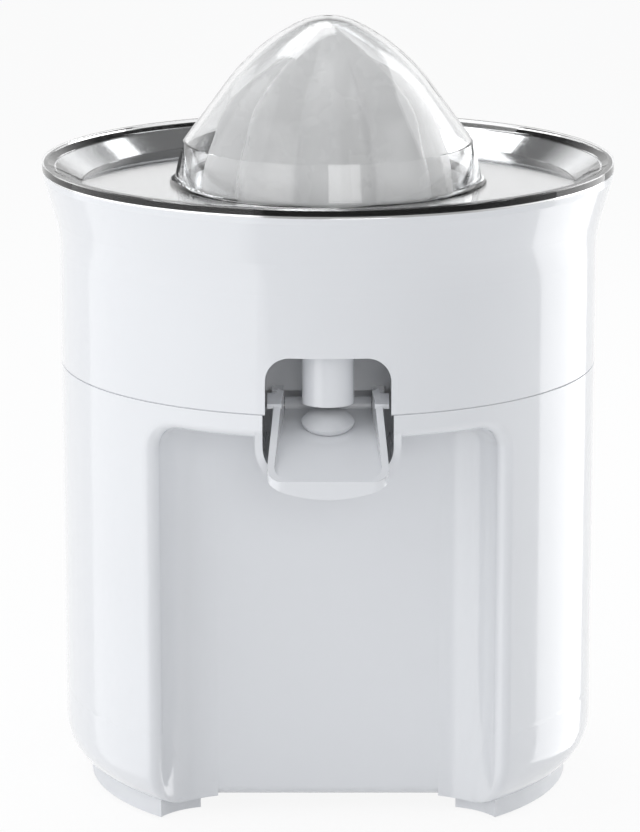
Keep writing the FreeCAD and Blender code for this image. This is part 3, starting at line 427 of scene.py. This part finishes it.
def bay_edge(rad, lvl, edge_round, share):
    """Plan point on the round between the bay's wall (share 0) and the outer wall (share 1)."""
    wall = BAY_CORNER - stand_off(lvl)
    turn = bay_turn(rad - edge_round, wall + edge_round)
    middle = (rad - edge_round) * Vector((math.sin(turn), -math.cos(turn)))
    out = middle.normalized()
    to_bay = (Vector((BAY_HALF - BAY_CORNER, -BAY_BACK - BAY_CORNER)) - middle).normalized()
    spread = out.angle_signed(to_bay) * (1 - share)
    return middle + edge_round * (Matrix.Rotation(-spread, 2) @ out)


def base_underside():
    """The base's wall, run low and turned in tightly above the feet, from bay wall to bay wall."""
    wall = BODY_RAD + stand_off(UNDER_LEVEL)
    rows = [(BODY_RAD + stand_off(z), z, BAY_EDGE_ROUND) for z in UNDER_WALL_LEVELS]
    for step in range(BEND_STEPS + 1):
        turn = STEP_TURN * step
        rows.append((wall - UNDER_BEND * (1 - math.cos(turn)),
                     UNDER_LEVEL + UNDER_BEND * (1 - math.sin(turn)),
                     BAY_EDGE_ROUND - EDGE_ROUND_LOSS * step * step))
    rows += UNDER_RUN_IN
    form = bmesh.new()
    bmesh.ops.create_grid(form, x_segments=len(rows) - 1, y_segments=UNDER_COLUMNS, size=1)
    grown = bmesh.ops.extrude_face_region(form, geom=form.faces[:], use_keep_orig=True)
    hidden = {v for v in grown["geom"] if isinstance(v, bmesh.types.BMVert)}
    ends = {v for v in form.verts if abs(v.co.y) > 0.999}
    for vert in form.verts:
        rad, lvl, edge_round = rows[round((vert.co.x + 1) / 2 * (len(rows) - 1))]
        column = round((vert.co.y + 1) / 2 * UNDER_COLUMNS)
        side = min(column, UNDER_COLUMNS - column)
        if vert in hidden:
            spoke = Vector((rad - PLAIN_ROUND_AT[0], lvl - PLAIN_ROUND_AT[1])).normalized()
            sunk = BACK_SUNK + END_SUNK * max(0, 1 - side / (EDGE_COLUMNS + 2))
            rad, lvl = Vector(PLAIN_ROUND_AT) + spoke * (PLAIN_ROUND - sunk)
        spot = bay_edge(rad, lvl, edge_round, min(1, side / EDGE_COLUMNS))
        if side > EDGE_COLUMNS:
            turn = math.atan2(spot.x, -spot.y)
            way = (side - EDGE_COLUMNS) / (UNDER_COLUMNS / 2 - EDGE_COLUMNS)
            turn += way * (math.pi - turn)
            spot = rad * Vector((math.sin(turn), -math.cos(turn)))
        vert.co = (spot.x if column == side else -spot.x, spot.y, lvl)
    # The two end walls lie along the bay's rounded corners
    across = [e for e in form.edges
              if ends.issuperset(e.verts) and len(hidden.intersection(e.verts)) == 1]
    cut = bmesh.ops.subdivide_edges(form, edges=across, cuts=END_CUTS, use_grid_fill=True)
    for vert in (v for v in cut["geom_inner"] if isinstance(v, bmesh.types.BMVert)):
        corner = Vector((math.copysign(BAY_HALF - BAY_CORNER, vert.co.x), -BAY_BACK - BAY_CORNER))
        away = BAY_CORNER - stand_off(vert.co.z)
        vert.co.xy = corner + (vert.co.xy - corner).normalized() * away
    bmesh.ops.remove_doubles(form, verts=form.verts, dist=MERGE)
    for edge in form.edges:
        edge.smooth = edge.calc_face_angle(0) < SHARP
    settle(form, "base_underside", "body_white", "base")


def return_spring():
    """The plunger's spring, its lower end on the bracket and its upper end under the flange."""
    solid = nodes["return_spring"]
    form = bmesh.new()
    form.from_mesh(solid.data)
    bmesh.ops.remove_doubles(form, verts=form.verts, dist=MERGE * MM)
    mesh = bpy.data.meshes.new("return_spring_wire")
    form.to_mesh(mesh)
    form.free()
    mesh.materials.clear()
    mesh.materials.append(FINISHES["steel"])
    piece = bpy.data.objects.new("return_spring_wire", mesh)
    scene.collection.objects.link(piece)
    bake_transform(piece)
    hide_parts("return_spring")


reamer_cone()
drip_spout()
base_underside()
return_spring()
# The lamps reach the cone through the clear lid
nodes["lid"].visible_shadow = False


# Studio, in metres and watts
FLOOR_HALF = 6
# Plain white in what the eye sees of the floor; the rest keeps the object's shadow
FLOOR_WHITE = 0.9
CAMERA_AT = (0, -1.396, 0.4658)
CAMERA_DIP = math.radians(13.42)
SENSOR_TALL, FOCAL = 36, 170.35
# The object's axis stands this far right of the middle, in pixels of a frame so tall
AXIS_OFF, FRAME_TALL = 8.1, 832
# Place, aim, width, height and power
SOFTBOXES = {
    "left_softbox": ((-0.74, -0.30, 0.30), (0.26, -0.10, 0.30), 1.6, 1.8, 4.4),
    "right_softbox": ((0.86, 0.50, 0.30), (0, 0, 0.22), 0.8, 1.6, 6.3),
    "top_softbox": ((-0.25, 0.55, 1.2), (0, 0, 0.2), 0.7, 0.5, 3),
    "front_softbox": ((0.5, -2.2, 0.8), (0, 0, 0.12), 1.0, 1.0, 7.2),
}


def straight_to_eye(tree):
    """Light path shares: seen by the eye, also through the lid; and seen in a mirror."""
    def step(operation, first, second):
        made = tree.nodes.new("ShaderNodeMath")
        made.operation = operation
        for socket, item in zip(made.inputs, (first, second)):
            if isinstance(item, float):
                socket.default_value = item
            else:
                tree.links.new(item, socket)
        return made.outputs[0]

    path = tree.nodes.new("ShaderNodeLightPath").outputs
    scattered = step("LESS_THAN", path["Diffuse Depth"], 0.5)
    unturned = step("LESS_THAN", path["Glossy Depth"], 0.5)
    through = step("MULTIPLY", step("MULTIPLY", path["Is Transmission Ray"], scattered), unturned)
    mirrored = step("MULTIPLY", path["Is Glossy Ray"], scattered)
    return step("MAXIMUM", path["Is Camera Ray"], through), mirrored


def studio_floor():
    look = Finish("studio_floor", (0.93, 0.93, 0.93), 0.6)
    look.mottle(look.noise(2), 0.99, 1.0)
    form = bmesh.new()
    bmesh.ops.create_grid(form, x_segments=2, y_segments=2, size=FLOOR_HALF)
    mesh = bpy.data.meshes.new("studio_floor")
    form.to_mesh(mesh)
    form.free()
    mesh.materials.append(look.material)
    floor = bpy.data.objects.new("studio_floor", mesh)
    scene.collection.objects.link(floor)
    white = look.add("ShaderNodeEmission")
    white.inputs["Strength"].default_value = 1.0
    share = look.add("ShaderNodeMath", operation="MULTIPLY")
    share.inputs[1].default_value = FLOOR_WHITE
    look.link(straight_to_eye(look.tree)[0], share.inputs[0])
    mix = look.add("ShaderNodeMixShader")
    look.link(share.outputs[0], mix.inputs["Fac"])
    look.link(look.shader.outputs["BSDF"], mix.inputs[1])
    look.link(white.outputs["Emission"], mix.inputs[2])
    look.link(mix.outputs["Shader"], look.tree.nodes["Material Output"].inputs["Surface"])
    floor.visible_glossy = False


def studio_sky():
    """White to the eye and through the lid; in mirrors a white room, dim in front and above."""
    world = bpy.data.worlds.new("studio_sky")
    scene.world = world
    world.use_nodes = True
    tree = world.node_tree

    def add(kind, **settings):
        step = tree.nodes.new(kind)
        for key, value in settings.items():
            setattr(step, key, value)
        return step

    soft = tree.nodes["Background"]
    white = add("ShaderNodeBackground")
    white.inputs["Strength"].default_value = 1.0
    mirrored = add("ShaderNodeBackground")
    for backdrop, colour in ((soft, (0.93, 0.95, 0.98)), (white, (1, 1, 1)), (mirrored, (1, 1, 1))):
        backdrop.inputs["Color"].default_value = (*colour, 1)
    way = add("ShaderNodeSeparateXYZ")
    tree.links.new(add("ShaderNodeTexCoord").outputs["Generated"], way.inputs["Vector"])

    def fade(axis, start, end, first, last):
        step = add("ShaderNodeMapRange")
        span = {"From Min": start, "From Max": end, "To Min": first, "To Max": last}
        for key, value in span.items():
            step.inputs[key].default_value = value
        tree.links.new(way.outputs[axis], step.inputs["Value"])
        return step.outputs["Result"]

    # The room in mirrors: dim in front, with a sharp-edged white wall on the left
    walls = add("ShaderNodeMath", operation="MAXIMUM")
    tree.links.new(fade("Y", -0.55, 0.10, 0.38, 1.0), walls.inputs[0])
    tree.links.new(fade("X", -0.44, -0.40, 1.0, 0.0), walls.inputs[1])
    # A dark ceiling over it
    room = add("ShaderNodeMath", operation="MULTIPLY")
    tree.links.new(fade("Z", 0.30, 0.55, 1.0, 0.14), room.inputs[0])
    tree.links.new(walls.outputs[0], room.inputs[1])
    tree.links.new(room.outputs[0], mirrored.inputs["Strength"])
    # Soft light on the object, stronger from the left
    tree.links.new(fade("X", -0.7, 0.7, 0.84, 0.46), soft.inputs["Strength"])
    seen, mirror = straight_to_eye(tree)
    bounced = add("ShaderNodeMixShader")
    tree.links.new(mirror, bounced.inputs["Fac"])
    tree.links.new(soft.outputs["Background"], bounced.inputs[1])
    tree.links.new(mirrored.outputs["Background"], bounced.inputs[2])
    mix = add("ShaderNodeMixShader")
    tree.links.new(seen, mix.inputs["Fac"])
    tree.links.new(bounced.outputs["Shader"], mix.inputs[1])
    tree.links.new(white.outputs["Background"], mix.inputs[2])
    tree.links.new(mix.outputs["Shader"], tree.nodes["World Output"].inputs["Surface"])


def softbox(name, spot, aim, wide, high, power):
    lamp = bpy.data.lights.new(name, "AREA")
    lamp.shape = "RECTANGLE"
    lamp.size = wide
    lamp.size_y = high
    lamp.energy = power
    box = bpy.data.objects.new(name, lamp)
    scene.collection.objects.link(box)
    box.location = spot
    box.rotation_euler = (Vector(aim) - Vector(spot)).to_track_quat("-Z", "Y").to_euler()
    box.visible_camera = False


def studio_camera():
    lens = bpy.data.cameras.new("studio_camera")
    lens.sensor_fit = "VERTICAL"
    lens.sensor_height = SENSOR_TALL
    lens.lens = FOCAL
    lens.shift_x = -AXIS_OFF / FRAME_TALL
    camera = bpy.data.objects.new("studio_camera", lens)
    scene.collection.objects.link(camera)
    camera.location = CAMERA_AT
    camera.rotation_euler = (math.pi / 2 - CAMERA_DIP, 0, 0)
    scene.camera = camera


scene.view_settings.view_transform = "Standard"
studio_floor()
studio_sky()
for name, box in SOFTBOXES.items():
    softbox(name, *box)
studio_camera()
